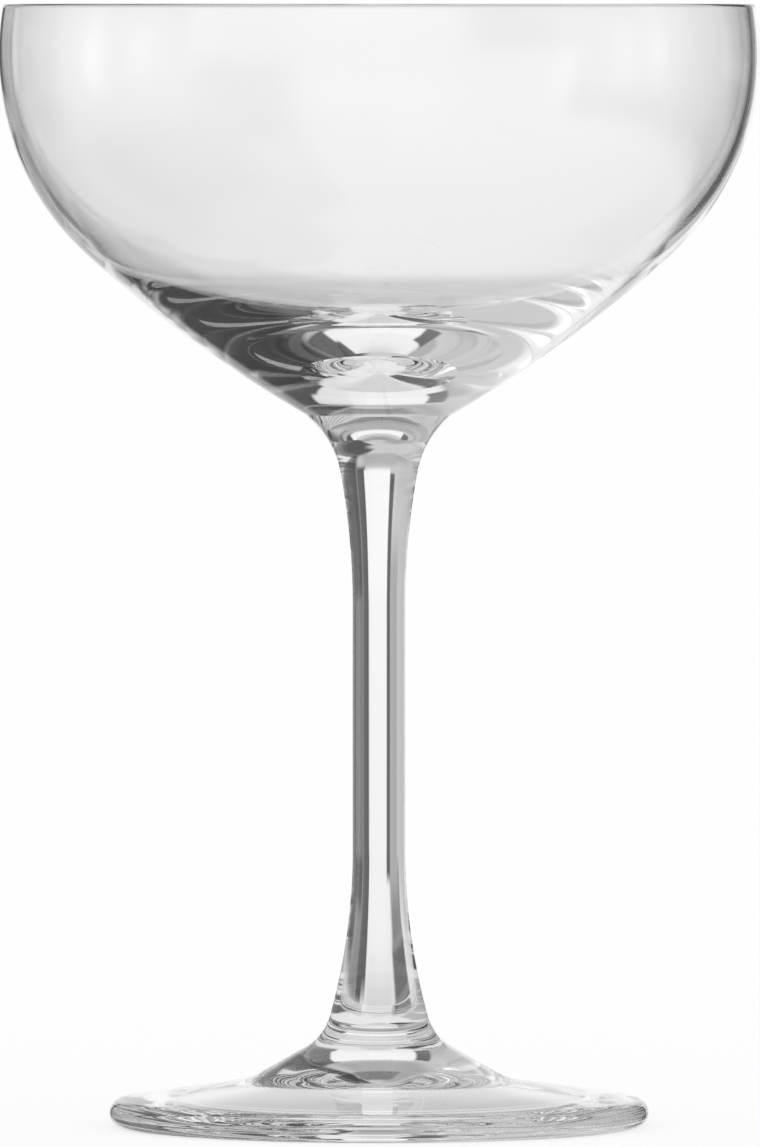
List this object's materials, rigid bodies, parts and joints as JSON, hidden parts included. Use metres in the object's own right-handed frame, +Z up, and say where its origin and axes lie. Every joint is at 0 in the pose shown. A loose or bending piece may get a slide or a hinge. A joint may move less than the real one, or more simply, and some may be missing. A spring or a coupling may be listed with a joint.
{
  "type": "coupe glass",
  "caption": "Clear stemmed coupe: a wide, shallow round bowl with a rounded side and a conical base, on a slim flared stem and a flat round foot.",
  "frame": {"origin": "middle of the foot, on the flat surface that the glass stands on", "axes": "+Z up along the glass's axis of rotation, from the foot to the rim; X and Y lie in the plane that it stands on and are interchangeable"},
  "size_m": [0.104, 0.104, 0.1534],
  "materials": {
    "clear_glass": "clear, colourless, polished, with a fire-polished rim"
  },
  "bodies": {
    "root": {"bowl": "clear_glass", "stem": "clear_glass", "foot": "clear_glass"}
  },
  "joints": []
}
